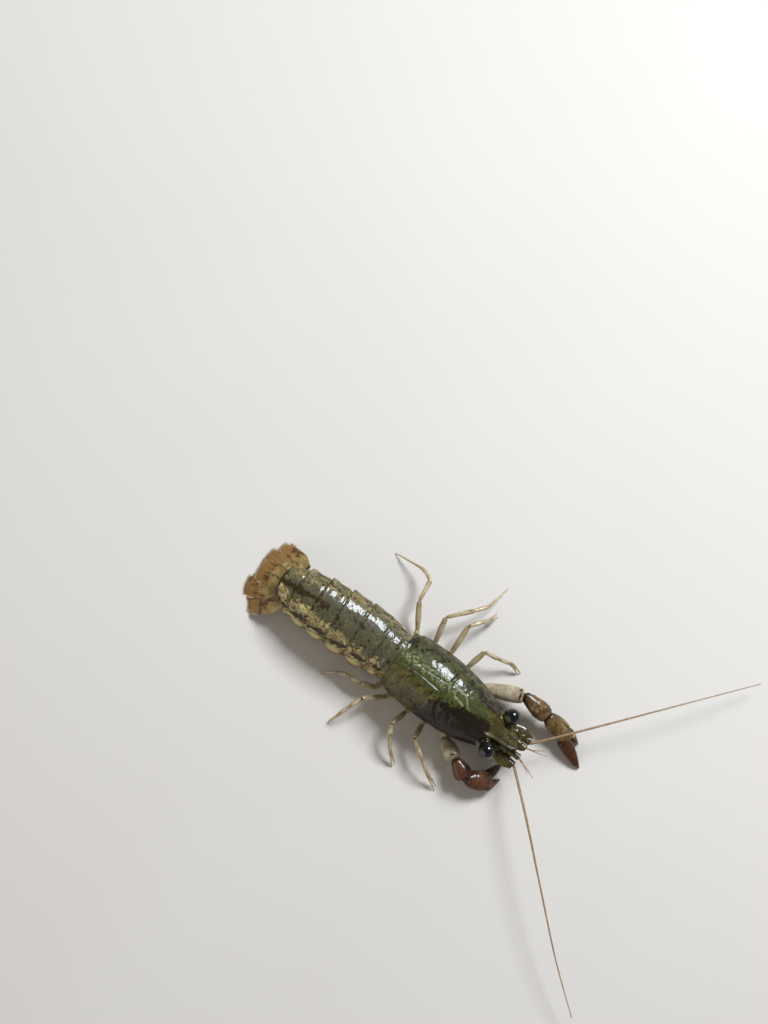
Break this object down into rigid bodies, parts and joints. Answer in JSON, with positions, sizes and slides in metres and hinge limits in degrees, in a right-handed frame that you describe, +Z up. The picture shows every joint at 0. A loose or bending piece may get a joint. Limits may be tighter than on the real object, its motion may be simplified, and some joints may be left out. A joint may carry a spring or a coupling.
{
  "type": "juvenile eastern crayfish",
  "caption": "Life-size still model of a juvenile crayfish lying belly down, tail fan lowered, one claw held forward and the other folded in front of the head.",
  "frame": {"origin": "middle of the model's footprint, on the floor it rests on", "axes": "+X forwards along the carapace, +Y to the animal's left, +Z up"},
  "size_m": [0.04, 0.0296, 0.005],
  "materials": {
    "carapace_shell": "wet, mottled olive-green shell with dark blotches",
    "head_shell": "wet olive shell",
    "belly_shell": "pale straw underside",
    "abdomen_shell": "wet olive-grey plates with straw side plates outlined in dark olive",
    "tail_fan": "thin amber plates with a pale fringe",
    "eye_cornea": "glossy black",
    "feeler": "thin ringed tan feelers",
    "mouth_limb": "pale olive",
    "leg_shell": "clear pale straw, darker at the joints",
    "claw_arm": "clear grey-tan",
    "claw_shell": "olive-brown with dark joint bands",
    "claw_finger": "dark red-brown with a pale tip",
    "swimmeret": "pale straw"
  },
  "bodies": {
    "root": {"carapace": "carapace_shell", "head": "head_shell", "thorax": "belly_shell", "abdomen_1": "abdomen_shell", "abdomen_2": "abdomen_shell", "abdomen_3": "abdomen_shell", "abdomen_4": "abdomen_shell", "abdomen_5": "abdomen_shell", "abdomen_6": "abdomen_shell", "telson": "tail_fan", "uropod_inner_left": "tail_fan", "uropod_outer_left": "tail_fan", "eye_left": "eye_cornea", "antennule_left": "feeler", "antenna_base_left": "head_shell", "antenna_left": "feeler", "maxilliped_left": "mouth_limb", "claw_arm_left": "claw_arm", "claw_wrist_left": "claw_shell", "claw_hand_left": "claw_shell", "claw_finger_left": "claw_finger", "leg_2_left": "leg_shell", "leg_3_left": "leg_shell", "leg_4_left": "leg_shell", "leg_5_left": "leg_shell", "swimmeret_2_left": "swimmeret", "swimmeret_3_left": "swimmeret", "swimmeret_4_left": "swimmeret", "swimmeret_5_left": "swimmeret", "uropod_inner_right": "tail_fan", "uropod_outer_right": "tail_fan", "eye_right": "eye_cornea", "antennule_right": "feeler", "antenna_base_right": "head_shell", "antenna_right": "feeler", "maxilliped_right": "mouth_limb", "claw_arm_right": "claw_arm", "claw_wrist_right": "claw_shell", "claw_hand_right": "claw_shell", "claw_finger_right": "claw_finger", "leg_2_right": "leg_shell", "leg_3_right": "leg_shell", "leg_4_right": "leg_shell", "leg_5_right": "leg_shell", "swimmeret_2_right": "swimmeret", "swimmeret_3_right": "swimmeret", "swimmeret_4_right": "swimmeret", "swimmeret_5_right": "swimmeret"}
  },
  "joints": []
}
